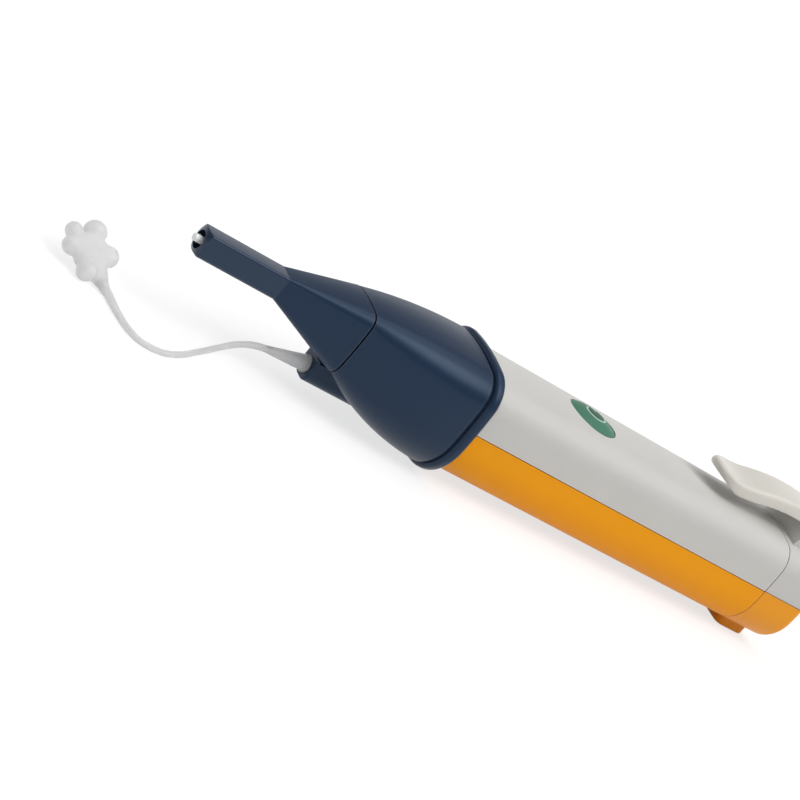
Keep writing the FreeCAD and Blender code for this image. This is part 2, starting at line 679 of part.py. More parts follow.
def circuit_board():
    """Board with a narrow tongue that reaches the photodiode's leads."""
    tongue = block(BOARD_FRONT, BOARD_SHOULDER + OVERCUT, -BOARD_TONGUE_HALF_WIDTH, BOARD_TONGUE_HALF_WIDTH,
                   BOARD_UNDERSIDE, BOARD_TOP)
    board = block(BOARD_SHOULDER, BOARD_END, -BOARD_HALF_WIDTH, BOARD_HALF_WIDTH, BOARD_UNDERSIDE, BOARD_TOP)
    holes = []
    for setback in POST_SETBACKS:
        station = CASE_SHOULDER + setback
        holes.append(post(SCREW_RADIUS + SLIP_GAP, station, 0,
                          BOARD_UNDERSIDE - OVERCUT, BOARD_TOP + OVERCUT))
    return board.fuse(tongue).removeSplitter().cut(holes)


def board_screws():
    """Slotted pan-head screws that hold the board to the upper case."""
    screws = []
    for setback in POST_SETBACKS:
        station = CASE_SHOULDER + setback
        head_bottom = BOARD_UNDERSIDE - SCREW_HEAD_HEIGHT
        head = post(SCREW_HEAD_RADIUS, station, 0, head_bottom, BOARD_UNDERSIDE)
        shank = post(SCREW_RADIUS, station, 0, BOARD_UNDERSIDE, BOARD_UNDERSIDE + SCREW_LENGTH)
        slot = block(station - SCREW_SLOT_WIDTH / 2, station + SCREW_SLOT_WIDTH / 2,
                     -2 * SCREW_HEAD_RADIUS, 2 * SCREW_HEAD_RADIUS,
                     head_bottom - OVERCUT, head_bottom + SCREW_SLOT_DEPTH)
        screws.append(head.fuse(shank).cut(slot))
    return Part.makeCompound(screws)


def between_posts():
    """The station midway between the board's two posts."""
    return CASE_SHOULDER + sum(POST_SETBACKS) / 2


def microcontroller():
    """Square chip on top of the board."""
    half = CHIP_SIDE / 2
    station = between_posts()
    return block(station - half, station + half, -half, half, BOARD_TOP, BOARD_TOP + CHIP_HEIGHT)


def buzzer():
    """Round sounder under the board, with its sound hole."""
    station = between_posts()
    bottom = BOARD_UNDERSIDE - BUZZER_HEIGHT
    drum = post(BUZZER_RADIUS, station, 0, bottom, BOARD_UNDERSIDE)
    return drum.cut(post(BUZZER_HOLE_RADIUS, station, 0, bottom - OVERCUT, bottom + BUZZER_HEIGHT / 2))


def board_capacitors():
    """Two pairs of small chip capacitors beside the controller."""
    pieces = []
    for station in (between_posts() - CHIP_SIDE / 2, between_posts() + CHIP_SIDE / 2 - CAPACITOR_LENGTH):
        for side in (-CAPACITOR_ROW - CAPACITOR_WIDTH / 2, CAPACITOR_ROW - CAPACITOR_WIDTH / 2):
            pieces.append(block(station, station + CAPACITOR_LENGTH, side, side + CAPACITOR_WIDTH,
                                BOARD_TOP, BOARD_TOP + CAPACITOR_HEIGHT))
    return Part.makeCompound(pieces)


def indicator_led():
    """Small lamp beside the switch, under the button's edge."""
    start = BUTTON_STATION + SWITCH_SIDE / 2 + SLIP_GAP
    return block(start, start + LED_LENGTH, -LED_WIDTH / 2, LED_WIDTH / 2, BOARD_TOP, BOARD_TOP + LED_HEIGHT)


def battery_tray():
    """Double trough for the cells, with a front wall for the contacts and ribs that stand in the case."""
    seat = BAY_SECTION.grown(-CELL_GAP)
    troughs = []
    beds = []
    for side in (-CELL_SIDE, CELL_SIDE):
        troughs.append(rod(CELL_RADIUS + CELL_GAP + TRAY_WALL, TRAY_FRONT, CELL_END, side))
        beds.append(rod(CELL_RADIUS + CELL_GAP, CONTACT_FRONT, CELL_END + OVERCUT, side))
    ribs = []
    for start in (CELL_FRONT + TRAY_RIB_INSET, CELL_END - TRAY_RIB_INSET - TRAY_WALL):
        ribs.append(seat.prism(start, start + TRAY_WALL))
    low = block(TRAY_FRONT, CELL_END, -CASE_HALF_WIDTH, CASE_HALF_WIDTH, -2 * CASE_BOTTOM, TRAY_TOP)
    trough = troughs[0].fuse([troughs[1]] + ribs).common(low).common(seat.prism(TRAY_FRONT, CELL_END))
    wall = seat.prism(TRAY_FRONT, CONTACT_FRONT)
    wall_low = -CELL_RADIUS - TRAY_WALL
    wall = wall.common(block(TRAY_FRONT, CONTACT_FRONT, -CASE_HALF_WIDTH, CASE_HALF_WIDTH,
                             wall_low, BOARD_TOP))
    return trough.fuse(wall).removeSplitter().cut(beds)


def front_contact(side):
    """Folded strip: a pad that meets the cell and a tail that lies on the board."""
    low = side - CONTACT_WIDTH / 2
    high = side + CONTACT_WIDTH / 2
    fold_top = BOARD_TOP + CONTACT_THICKNESS
    pad = block(CONTACT_FRONT, CELL_FRONT, low, high, BOARD_TOP - CONTACT_DROP, fold_top)
    tail = block(BOARD_END - CONTACT_TAIL, CELL_FRONT, low, high, BOARD_TOP, fold_top)
    return pad.fuse(tail).removeSplitter()


def battery(side, nub_first):
    """One AAA cell, with its nub to the front or to the tail."""
    can_front = CELL_FRONT + (NUB_LENGTH if nub_first else 0)
    can_end = CELL_END - (0 if nub_first else NUB_LENGTH)
    can = rod(CELL_RADIUS, can_front, can_end, side)
    can = can.makeFillet(CELL_EDGE_ROUND, edges_at(can, can_front) + edges_at(can, can_end))
    nub_start = CELL_FRONT if nub_first else can_end
    nub_end = can_front if nub_first else CELL_END
    return can.fuse(rod(NUB_RADIUS, nub_start, nub_end, side)).removeSplitter()


def contact_carrier():
    """Insulating plate in the mouth of the tail cap."""
    return TAIL_BAY_SECTION.grown(-SLIP_GAP).prism(CARRIER_FRONT, CARRIER_FRONT + CARRIER_THICKNESS)


def bridge_contact():
    """Plate with two dimples that joins the cells at the tail."""
    front = CARRIER_FRONT - CONTACT_THICKNESS
    reach = CELL_SIDE + BRIDGE_HALF_HEIGHT
    plate = block(front, CARRIER_FRONT, -reach, reach, -BRIDGE_HALF_HEIGHT, BRIDGE_HALF_HEIGHT)
    dimples = []
    for side in (-CELL_SIDE, CELL_SIDE):
        dimples.append(Part.makeCone(DIMPLE_TIP_RADIUS, DIMPLE_BASE_RADIUS, DIMPLE_HEIGHT,
                                     place(front - DIMPLE_HEIGHT, side, 0), ALONG))
    return plate.fuse(dimples).removeSplitter()


def upright_profile(edges, half_width):
    """A solid from a closed outline in the tool's upright plane, as wide on both sides."""
    face = Part.Face(Part.Wire(edges))
    face.translate(ACROSS * -half_width)
    return face.extrude(ACROSS * (2 * half_width))


def line(first, last):
    """A straight edge."""
    return Part.LineSegment(first, last).toShape()


def clip_bend(depth):
    """Station where the clip's dip meets its arch, on its top or that depth below it."""
    return CLIP_DIP + (CLIP_DIP_RADIUS + depth) * math.sin(CLIP_LEAN)


def clip_height(station, depth):
    """Height of the clip at a station, on its top or that depth below it."""
    if station < clip_bend(depth):
        return CLIP_DIP_CENTRE - math.sqrt((CLIP_DIP_RADIUS + depth) ** 2 - (station - CLIP_DIP) ** 2)
    return CLIP_ARCH_CENTRE + math.sqrt((CLIP_ARCH_RADIUS - depth) ** 2 - (station - CLIP_APEX) ** 2)


def clip_arc(start, end, depth):
    """An arc of the clip's side view between two stations, on its top or that depth below it."""
    points = [place(station, 0, clip_height(station, depth)) for station in (start, (start + end) / 2, end)]
    return arc_through(*points)


def clip_pivot_height():
    """Height of the middle of the clip's round root, whose top lies just under the clip's top."""
    return clip_height(CLIP_PIVOT, 0) - CLIP_ROOT_DROP - CLIP_PIVOT_RADIUS


def clip_seat():
    """Hump on the tail cap that holds the clip's round root between two cheeks."""
    pivot = place(CLIP_PIVOT, 0, clip_pivot_height())
    root = CASE_TOP - CASE_WALL
    crest = clip_height(CLIP_PIVOT, 0)
    groove_radius = CLIP_PIVOT_RADIUS + SLIP_GAP
    lip = clip_height(CLIP_PIVOT, CLIP_THICKNESS) - CLIP_SIDE_GAP
    front_wall = groove_radius + CHEEK_THICKNESS
    back = TAIL_END - TAIL_ROUND / 2
    corners = [
        place(CLIP_PIVOT - front_wall - CHEEK_THICKNESS, 0, root),
        place(CLIP_PIVOT - front_wall, 0, lip),
        place(CLIP_PIVOT - CHEEK_THICKNESS / 2, 0, lip),
        place(CLIP_PIVOT, 0, crest),
        place(CLIP_PIVOT + groove_radius, 0, crest),
        place(back, 0, root),
    ]
    shoulder = place(CLIP_PIVOT + (back - CLIP_PIVOT) * HUMP_SHOULDER, 0,
                     CASE_TOP + (crest - CASE_TOP) * HUMP_FULLNESS)
    edges = [line(corners[index], corners[index + 1]) for index in range(4)]
    edges.append(arc_through(corners[4], shoulder, corners[5]))
    edges.append(line(corners[5], corners[0]))
    inside = CLIP_WIDTH / 2 + CLIP_SIDE_GAP
    hump = upright_profile(edges, inside + CHEEK_THICKNESS)
    groove = Part.makeCylinder(groove_radius, 2 * inside, pivot - ACROSS * inside, ACROSS)
    way_out = block(CLIP_NOSE, CLIP_PIVOT + 2 * CLIP_SIDE_GAP, -inside, inside, lip, 2 * crest)
    return hump.cut([groove, way_out])


def tail_foot():
    """Finger tab under the tail cap that keeps the tool level on a table."""
    start = TAIL_FRONT + FOOT_SETBACK
    end = start + FOOT_LENGTH
    half = FOOT_WIDTH / 2
    foot = block(start, end, -half, half, -AXIS_HEIGHT, -CASE_BOTTOM + CASE_WALL)
    uprights = [edge for edge in foot.Edges if edge.BoundBox.ZLength > 1]
    foot = foot.makeFillet(FOOT_CORNER, uprights)
    sole = [edge for edge in foot.Edges if edge.BoundBox.ZMax < place(0, 0, -AXIS_HEIGHT).z + TOUCH]
    return foot.makeFillet(FOOT_ROUND, sole)


def tail_cap():
    """Pull-off end with the spigot that enters the case, the clip's seat and the foot."""
    barrel = CASE_SECTION.prism(TAIL_FRONT, TAIL_END)
    barrel = barrel.makeFillet(TAIL_ROUND, edges_at(barrel, TAIL_END))
    spigot = TAIL_SPIGOT_SECTION.prism(CARRIER_FRONT, TAIL_FRONT + TAIL_WALL)
    hollow = TAIL_BAY_SECTION.prism(CARRIER_FRONT - OVERCUT, TAIL_END - TAIL_END_WALL)
    shell = barrel.fuse([spigot, clip_seat(), tail_foot()]).cut(hollow)
    return shell.removeSplitter()


def pocket_clip():
    """Arched clip with a round root and a rounded nose whose chin sweeps up."""
    start = CLIP_NOSE - NOSE_LEAD
    half = CLIP_WIDTH / 2
    chin_end = CLIP_NOSE + CHIN_LENGTH
    tip = place(start, 0, clip_height(start, 0))
    tip_low = tip - UP * NOSE_THICKNESS
    chin_back = place(chin_end, 0, clip_height(chin_end, CLIP_THICKNESS))
    chin_fall = (tip_low.z - chin_back.z) * CHIN_FULLNESS
    chin_middle = Vector((tip_low.x + chin_back.x) / 2, 0, tip_low.z - chin_fall)
    root_top = place(CLIP_PIVOT, 0, clip_height(CLIP_PIVOT, 0))
    root_low = place(CLIP_PIVOT, 0, clip_height(CLIP_PIVOT, CLIP_THICKNESS))
    edges = [
        clip_arc(start, clip_bend(0), 0),
        clip_arc(clip_bend(0), CLIP_PIVOT, 0),
        line(root_top, root_low),
        clip_arc(CLIP_PIVOT, clip_bend(CLIP_THICKNESS), CLIP_THICKNESS),
        clip_arc(clip_bend(CLIP_THICKNESS), chin_end, CLIP_THICKNESS),
        arc_through(chin_back, chin_middle, tip_low),
        line(tip_low, tip),
    ]
    plan = block(CLIP_NOSE + half, TAIL_END, -half, half, CASE_TOP, 2 * CASE_TOP)
    nose = post(half, CLIP_NOSE + half, 0, CASE_TOP, 2 * CASE_TOP)
    arch = upright_profile(edges, half).common(plan.fuse(nose).removeSplitter()).Solids[0]
    rim = []
    for face in arch.Faces:
        middle = face.Surface.parameter(face.CenterOfMass)
        if face.normalAt(*middle).z > STEEPEST_TOP:
            rim += [edge for edge in face.Edges if edge.BoundBox.XLength > 1]
    arch = arch.makeFillet(CLIP_EDGE_ROUND, rim)
    root_at = place(CLIP_PIVOT, -half, clip_pivot_height())
    root = Part.makeCylinder(CLIP_PIVOT_RADIUS, CLIP_WIDTH, root_at, ACROSS)
    return arch.fuse(root).removeSplitter()


def plug_cone():
    """Start of the plug's cone and the direction in which it droops out of the socket."""
    droop = math.radians(PLUG_DROOP_DEG)
    return place(PLUG_CONE_BACK, 0, -SOCKET_HEIGHT), Vector(-math.cos(droop), 0, -math.sin(droop))


def tether_plug():
    """Stem in the socket, ring at its mouth and the cone that runs out into the strap."""
    start, outward = plug_cone()
    stem = rod(PLUG_RADIUS, SOCKET_FRONT - PLUG_RING_THICKNESS / 2, SOCKET_FRONT + PLUG_LENGTH,
               0, -SOCKET_HEIGHT)
    ring = rod(PLUG_RING_RADIUS, PLUG_CONE_BACK, SOCKET_FRONT, 0, -SOCKET_HEIGHT)
    root = PLUG_RING_THICKNESS / 2
    taper = (PLUG_CONE_RADIUS - PLUG_CONE_TIP_RADIUS) / PLUG_CONE_LENGTH
    cone = Part.makeCone(PLUG_CONE_RADIUS + taper * root, PLUG_CONE_TIP_RADIUS, PLUG_CONE_LENGTH + root,
                         start - outward * root, outward)
    return ring.fuse([stem, cone]).removeSplitter()


def cap_frame():
    """Centre of the dust cap, its upward normal and its lobes as direction, distance and radius."""
    tilt = math.radians(CAP_TILT_DEG)
    lean = math.radians(CAP_TILT_AZIMUTH_DEG)
    heading = math.radians(CAP_NECK_AZIMUTH_DEG)
    normal = Vector(math.sin(tilt) * math.cos(lean), math.sin(tilt) * math.sin(lean), math.cos(tilt))
    neck = Vector(math.cos(heading), math.sin(heading), 0)
    neck.z = -(normal.x * neck.x + normal.y * neck.y) / normal.z
    neck.normalize()
    lobes = []
    for turn, distance, radius in CAP_LOBES:
        lobes.append((Rotation(normal, turn).multVec(neck), distance, radius))
    rest_height = max(radius - distance * direction.z for direction, distance, radius in lobes)
    return on_floor(CAP_STATION, CAP_SIDE, rest_height), normal, lobes


def dust_cap():
    """Lobed knob with the hollow stem that plugs the snout's mouth, lying tilted on its lobes."""
    centre, normal, lobes = cap_frame()
    half_hub = CAP_HUB_THICKNESS / 2
    stem_radius = MOUTH_RADIUS - SLIP_GAP / 2
    hub = Part.makeCylinder(CAP_HUB_RADIUS, CAP_HUB_THICKNESS, centre - normal * half_hub, normal)
    hub = hub.makeFillet(CAP_HUB_ROUND, [edge for edge in hub.Edges if edge.Closed])
    pieces = []
    for direction, distance, radius in lobes:
        pieces.append(Part.makeSphere(radius, centre + direction * distance, direction))
    stem_end = half_hub + CAP_STEM_LENGTH
    pieces.append(Part.makeCylinder(stem_radius, stem_end, centre - normal * stem_end, normal))
    knee = on_floor(*CAP_NECK_KNEE)
    tip = on_floor(*CAP_NECK_TIP)
    pieces.append(Part.makeCylinder(CAP_NECK_RADIUS, centre.distanceToPoint(knee), centre, knee - centre))
    pieces.append(Part.makeSphere(CAP_NECK_RADIUS, knee, knee - centre))
    run_out = knee.distanceToPoint(tip)
    pieces.append(Part.makeCone(CAP_NECK_RADIUS, CAP_NECK_TIP_RADIUS, run_out, knee, tip - knee))
    mouth = centre - normal * stem_end
    bore = Part.makeCylinder(FERRULE_RADIUS + SLIP_GAP, CAP_STEM_BORE_DEPTH, mouth, normal)
    return hub.fuse(pieces).removeSplitter().cut(bore)


def strap_points():
    """The strap's route from the plug's cone to the cap's neck."""
    start, outward = plug_cone()
    tip = on_floor(*CAP_NECK_TIP)
    away = tip - on_floor(*CAP_NECK_KNEE)
    away.normalize()
    points = [start + outward * PLUG_CONE_LENGTH, start + outward * (PLUG_CONE_LENGTH + STRAP_LEAD)]
    points += [on_floor(*point) for point in STRAP_ROUTE]
    return points + [tip + away * CAP_NECK_LEAD, tip]


def tether_strap():
    """Round strap along straight runs joined by tangent arcs."""
    points = strap_points()
    edges = []
    start = points[0]
    radii = []
    for index in range(1, len(points) - 1):
        corner = points[index]
        before = corner - points[index - 1]
        after = points[index + 1] - corner
        turn = before.getAngle(after)
        setback = STRAP_BEND_SHARE * min(before.Length, after.Length)
        radii.append(setback / math.tan(turn / 2))
        inward = Vector(before)
        inward.normalize()
        outward = Vector(after)
        outward.normalize()
        arc_start = corner - inward * setback
        arc_end = corner + outward * setback
        bisector = outward - inward
        bisector.normalize()
        sagitta = radii[-1] * (1 / math.cos(turn / 2) - 1)
        edges.append(line(start, arc_start))
        edges.append(arc_through(arc_start, corner + bisector * sagitta, arc_end))
        start = arc_end
    edges.append(line(start, points[-1]))
    path = Part.Wire(edges)
    profile = Part.Wire(Part.makeCircle(STRAP_RADIUS, points[0], points[1] - points[0]))
    strap = path.makePipeShell([profile], True, True)
    section_times_length = math.pi * STRAP_RADIUS ** 2 * path.Length
    print("strap radii", [round(radius, 1) for radius in radii])
    print("strap length", round(path.Length, 2), "volume", round(strap.Volume, 2),
          "section times length", round(section_times_length, 2))
    return strap


PIECES = {
    "probe_nozzle": probe_nozzle,
    "hood_collar": hood_collar,
    "pickup_ferrule": pickup_ferrule,
    "detector_holder": detector_holder,
    "photodiode": photodiode,
    "upper_case": upper_case,
    "lower_case": lower_case,
    "power_button": power_button,
    "tact_switch": tact_switch,
    "switch_plunger": switch_plunger,
    "circuit_board": circuit_board,
    "board_screws": board_screws,
    "microcontroller": microcontroller,
    "buzzer": buzzer,
    "board_capacitors": board_capacitors,
    "indicator_led": indicator_led,
    "battery_tray": battery_tray,
    "contact_carrier": contact_carrier,
    "bridge_contact": bridge_contact,
    "tail_cap": tail_cap,
    "pocket_clip": pocket_clip,
    "tether_plug": tether_plug,
    "tether_strap": tether_strap,
    "dust_cap": dust_cap,
}

os.makedirs("parts", exist_ok=True)
for name, make in PIECES.items():
    save(name, make())
save("front_contact_positive", front_contact(-CELL_SIDE))
save("front_contact_negative", front_contact(CELL_SIDE))
save("battery_near", battery(-CELL_SIDE, True))
save("battery_far", battery(CELL_SIDE, False))
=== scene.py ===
import math

import bmesh
import bpy
from bpy.props import FloatProperty, FloatVectorProperty, IntProperty, PointerProperty
from mathutils import Matrix, Vector


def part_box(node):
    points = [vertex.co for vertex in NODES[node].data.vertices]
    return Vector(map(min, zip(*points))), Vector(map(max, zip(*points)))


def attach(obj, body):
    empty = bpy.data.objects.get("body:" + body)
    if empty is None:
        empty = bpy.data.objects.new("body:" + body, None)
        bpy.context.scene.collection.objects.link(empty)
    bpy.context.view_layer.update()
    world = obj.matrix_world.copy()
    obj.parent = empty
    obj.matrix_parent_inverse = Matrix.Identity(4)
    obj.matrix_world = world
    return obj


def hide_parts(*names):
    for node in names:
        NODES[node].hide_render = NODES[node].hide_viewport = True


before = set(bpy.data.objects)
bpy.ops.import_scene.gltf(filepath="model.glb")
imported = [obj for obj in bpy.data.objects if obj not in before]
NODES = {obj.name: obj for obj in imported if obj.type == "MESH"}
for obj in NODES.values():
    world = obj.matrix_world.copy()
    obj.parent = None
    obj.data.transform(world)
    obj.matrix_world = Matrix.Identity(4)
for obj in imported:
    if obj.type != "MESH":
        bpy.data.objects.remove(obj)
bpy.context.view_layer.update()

bl_info = {
    "name": "Live fibre detector",
    "version": (1, 0, 0),
    "blender": (4, 5, 0),
    "location": "3D View > Sidebar > Detector",
    "description": "Finishes, tether and studio of a live fibre detector",
    "category": "Object",
}

# Strap from the plug's cone to the cap's neck, in metres, with the strap's width at each point as a
# share of its middle width.
STRAP_ROUTE = [
    ((-0.057877, 0.0, 0.005356), 1.18),
    ((-0.058867, 0.0, 0.005217), 1.17),
    ((-0.060848, 0.0, 0.004939), 1.12),
    ((-0.063250, 0.0, 0.004150), 1.06),
    ((-0.065550, -0.0002, 0.002900), 1.03),
    ((-0.067650, -0.0009, 0.001700), 1.00),
    ((-0.069850, -0.0023, 0.000950), 1.00),
    ((-0.072250, -0.0044, 0.000650), 0.98),
    ((-0.075150, -0.0071, 0.000650), 0.97),
    ((-0.078250, -0.0103, 0.000650), 0.97),
    ((-0.083650, -0.0144, 0.000650), 0.97),
    ((-0.087650, -0.0156, 0.000650), 0.97),
    ((-0.090850, -0.0149, 0.000650), 0.98),
    ((-0.092650, -0.0123, 0.000670), 1.03),
    ((-0.093650, -0.0086, 0.000720), 1.11),
    ((-0.094220, -0.0052, 0.000790), 1.23),
    ((-0.094450, -0.0030, 0.000860), 1.34),
    ((-0.094689, -0.001905, 0.000920), 1.40),
    ((-0.095030, -0.001330, 0.000980), 1.48),
    ((-0.095518, -0.000508, 0.001243), 1.68),
    ((-0.096005, 0.000314, 0.001536), 1.95),
]

# The camera's place and its right and up directions in the part's frame, its lens and sensor in
# millimetres, and the nearest distance that it sees.
CAMERA_PLACE = (-0.28712, -0.36513, 0.14188)
CAMERA_RIGHT = (0.731, -0.298, 0.613)
CAMERA_UP = (-0.394, 0.549, 0.737)
CAMERA_LENS = 104.95
SENSOR_WIDTH = 36.0
CAMERA_NEAR = 0.01

# Where the polished snout ends and the satin flare begins, in metres.
SNOUT_END = -0.06615

# Power mark: its gap, how deep it is set, and its bar as shares of the ring's radius.
MARK_GAP_DEG = 64
MARK_SINK = 0.0003
MARK_STEPS = 48
MARK_BAR_LENGTH = 0.85
MARK_BAR_MIDDLE = 0.72
MARK_BAR_STEPS = 6

# Light, where 1 is the level at which a colour renders as it is written. The directions point from the
# tool to the key lamp and to the low bright wall behind the tool; the panel hangs overhead. An edge is
# the share of a direction at which a light begins, with the softness of that edge.
KEY_FROM = (0.32, -0.50, 0.77)
KEY_LEVEL = 0.46
KEY_SPREAD = math.radians(40)
SURROUND_LEVEL = 0.20
PANEL_LEVEL = 1.45
PANEL_EDGE = (0.84, 0.12)
WALL_FROM = (0.52, 0.85, 0.0)
WALL_LEVEL = 0.90
WALL_SIDE_EDGE = (0.30, 0.30)
WALL_TOP_EDGE = (0.28, 0.10)
FLOOR_HALF = 30.0
FLOOR_COLOUR = (0.80, 0.80, 0.80, 1.0)
FLOOR_SHADE = 0.40
FLOOR_LIFT = 1.20
WHITE = (1.0, 1.0, 1.0, 1.0)

# Sizes of the patterns in the finishes, in metres: the grain of the cases, the clouds of the moulding's
# flow, rub marks, the painted highlight on edges and dust, then those of the tether, the smooth parts,
# the metal, the board and the cells' sleeves. A dot's radius is a share of the cell that holds it.
CASE_GRAIN = 0.00022
CLOUD_SIZE = 0.021
RUB_SIZE = 0.004
EDGE_RADIUS = 0.0004
DUST_CELL = 0.0042
DUST_DOT = 0.018
TETHER_CLOUD = 0.0026
TETHER_GRAIN = 0.00035
TETHER_RELIEF = 0.00008
GLOSS_CLOUD = 0.006
METAL_CLOUD = 0.004
METAL_MARK = 0.0005
METAL_RELIEF = 0.00001
BOARD_CLOUD = 0.009
BOARD_RELIEF = 0.00003
TRACK_SIZE = 1 / 150
TRACK_PATCH = 1 / 180
HOLE_CELL = 0.0031
HOLE_DOT = 0.11
SLEEVE_CLOUD = 0.008
SLEEVE_GRAIN = 0.0007
SLEEVE_RELIEF = 0.00004
SLEEVE_EDGE = 0.00005

# The polished snout's clear skin, and the bluish sheen of the navy parts.
POLISH_WEIGHT = 0.25
POLISH_ROUGHNESS = 0.22
POLISH_EDGE = 0.0002
NAVY_SHEEN = (0.62, 0.78, 1.0, 1.0)

# The groove between the tail's two colours, in metres: half its width and the softness of its edge.
GROOVE_HALF = 0.00010
GROOVE_EDGE = 0.00006

# A cell's bare ends and the length of its metal band, in metres, and the colour of the bare metal.
CELL_END = 0.0012
CELL_BAND = 0.0125
CELL_METAL = (0.58, 0.57, 0.55, 1.0)


class Socket:
    """A value inside a finish's nodes; sums on it add Math nodes."""

    def __init__(self, finish, link):
        self.finish = finish
        self.link = link

    def sum_of(self, operation, *values):
        sockets = dict(enumerate(values))
        return self.finish.node("ShaderNodeMath", {"operation": operation}, sockets)

    def __add__(self, other):
        return self.sum_of("ADD", self, other)

    def __radd__(self, other):
        return self.sum_of("ADD", other, self)

    def __sub__(self, other):
        return self.sum_of("SUBTRACT", self, other)

    def __rsub__(self, other):
        return self.sum_of("SUBTRACT", other, self)

    def __mul__(self, other):
        return self.sum_of("MULTIPLY", self, other)

    def __pow__(self, other):
        return self.sum_of("POWER", self, other)

    def above(self, edge, softness):
        """0 below the edge and 1 above it, with a soft step between."""
        settings = {"interpolation_type": "SMOOTHSTEP"}
        sockets = {"Value": self, "From Min": edge - softness, "From Max": edge + softness}
        return self.finish.node("ShaderNodeMapRange", settings, sockets)


class Finish:
    """The nodes of one material, or of the surround."""

    def __init__(self, holder, output="ShaderNodeOutputMaterial"):
        holder.use_nodes = True
        self.holder = holder
        self.tree = holder.node_tree
        self.tree.nodes.clear()
        self.output = self.tree.nodes.new(output)

    @classmethod
    def named(cls, name):
        """An empty material to fill."""
        return cls(bpy.data.materials.new(name))

    def node(self, kind, settings=None, sockets=None, out=0):
        """Add a node: first its settings, then the values or links of its sockets."""
        made = self.tree.nodes.new(kind)
        for name, value in (settings or {}).items():
            setattr(made, name, value)
        for name, value in (sockets or {}).items():
            if isinstance(value, Socket):
                self.tree.links.new(value.link, made.inputs[name])
            else:
                made.inputs[name].default_value = value
        return Socket(self, made.outputs[out])

    def place(self, turn=(0, 0, 0), scale=(1, 1, 1)):
        """Object coordinates, turned and stretched for one pattern."""
        coords = self.node("ShaderNodeTexCoord", out="Object")
        return self.node("ShaderNodeMapping", None, {"Vector": coords, "Rotation": turn, "Scale": scale})

    def along(self, axis):
        """One object coordinate, in metres."""
        coords = self.node("ShaderNodeTexCoord", out="Object")
        return self.node("ShaderNodeSeparateXYZ", None, {"Vector": coords}, out=axis)

    def noise(self, size, detail=2.0, rough=0.5, place=None):
        """Cloudy pattern from 0 to 1 with patches of about the given size in metres."""
        return self.node("ShaderNodeTexNoise", None, {
            "Vector": place or self.place(), "Scale": 1.0 / size, "Detail": detail, "Roughness": rough})

    def specks(self, size, share):
        """Small round dots, 1 inside a dot, with a cell of the given size."""
        cells = self.node("ShaderNodeTexVoronoi", None, {"Vector": self.place(), "Scale": 1.0 / size})
        return 1 - cells.above(share, share * 0.4)

    def edges(self, radius):
        """0 on flat faces, rising to 1 on edges tighter than the radius."""
        rounded = self.node("ShaderNodeBevel", {"samples": 4}, {"Radius": radius})
        true = self.node("ShaderNodeNewGeometry", out="Normal")
        facing = self.node("ShaderNodeVectorMath", {"operation": "DOT_PRODUCT"}, {0: rounded, 1: true},
                           out="Value")
        return (1 - facing).above(0.06, 0.06)

    def disc(self, x, y, radius):
        """1 within a radius of an upright line, seen from above."""
        away = [(self.along(axis) - middle) ** 2 for axis, middle in (("X", x), ("Y", y))]
        return 1 - ((away[0] + away[1]) ** 0.5).above(radius, radius * 0.05)

    def mix(self, share, first, second):
        """A colour between two."""
        return self.node("ShaderNodeMix", {"data_type": "RGBA"}, {0: share, 6: first, 7: second}, out=2)

    def bump(self, height, depth):
        """Normals of a relief of the given depth in metres."""
        return self.node("ShaderNodeBump", None, {"Height": height, "Distance": depth, "Strength": 1.0})

    def shader(self, **sockets):
        """A shader from its sockets, by their names with underscores for spaces."""
        named = {name.replace("_", " "): value for name, value in sockets.items()}
        return self.node("ShaderNodeBsdfPrincipled", None, named)

    def surface(self, **sockets):
        """The finish with one shader for its whole surface."""
        return self.close(self.shader(**sockets))

    def close(self, shader):
        """Put a shader on the output."""
        self.tree.links.new(shader.link, self.output.inputs["Surface"])
        return self.holder


def shade(colour, factor):
    """A colour made lighter or darker, with alpha."""
    return tuple(min(1.0, part * factor) for part in colour) + (1.0,)


def moulded(name, colour, rough, gloss, grain, depth, edge_highlight, dust_share=0.0, shade_disc=None, front=None,
            tint=WHITE):
    """Satin moulded plastic: fine spark-eroded grain, faint flow clouds, rub marks, painted highlight on
    edges.

    A darker disc of painted shade may be given by its middle and radius; what lies before front is
    polished.
    """
    finish = Finish.named(name)
    fine = finish.noise(grain, detail=3.0, rough=0.6)
    cloud = finish.noise(CLOUD_SIZE, detail=3.0)
    drawn_out = finish.place(scale=(0.16, 1.0, 1.0), turn=(0.2, 0.1, 0.3))
    rub = finish.noise(RUB_SIZE, detail=4.0, rough=0.65, place=drawn_out).above(0.64, 0.05)
    edge = finish.edges(EDGE_RADIUS)
    dust = finish.specks(DUST_CELL, DUST_DOT) * dust_share
    tone = finish.mix(cloud, shade(colour, 0.93), shade(colour, 1.07))
    tone = finish.mix(fine * 0.35, tone, shade(colour, 1.16))
    # Painted highlight: edges turn paler in the base colour.
    tone = finish.mix(edge * edge_highlight, tone, shade([part * 0.7 + 0.16 for part in colour], 1.0))
    tone = finish.mix(dust, tone, shade([part * 0.6 + 0.3 for part in colour], 1.0))
    if shade_disc:
        # Painted shade: the colour is darker within the given disc.
        tone = finish.mix(finish.disc(*shade_disc), tone, shade(colour, 0.62))
    roughness = rough + (cloud - 0.5) * 0.10 + (fine - 0.5) * 0.14 - rub * 0.05 - edge * 0.08
    relief = finish.bump(fine + dust * 0.6, depth)
    polish = (1 - finish.along("X").above(front, POLISH_EDGE)) * POLISH_WEIGHT if front else 0.0
    return finish.surface(Base_Color=tone, Roughness=roughness, Normal=relief, Specular_IOR_Level=gloss,
                          Specular_Tint=tint, Coat_Weight=polish, Coat_Roughness=POLISH_ROUGHNESS)


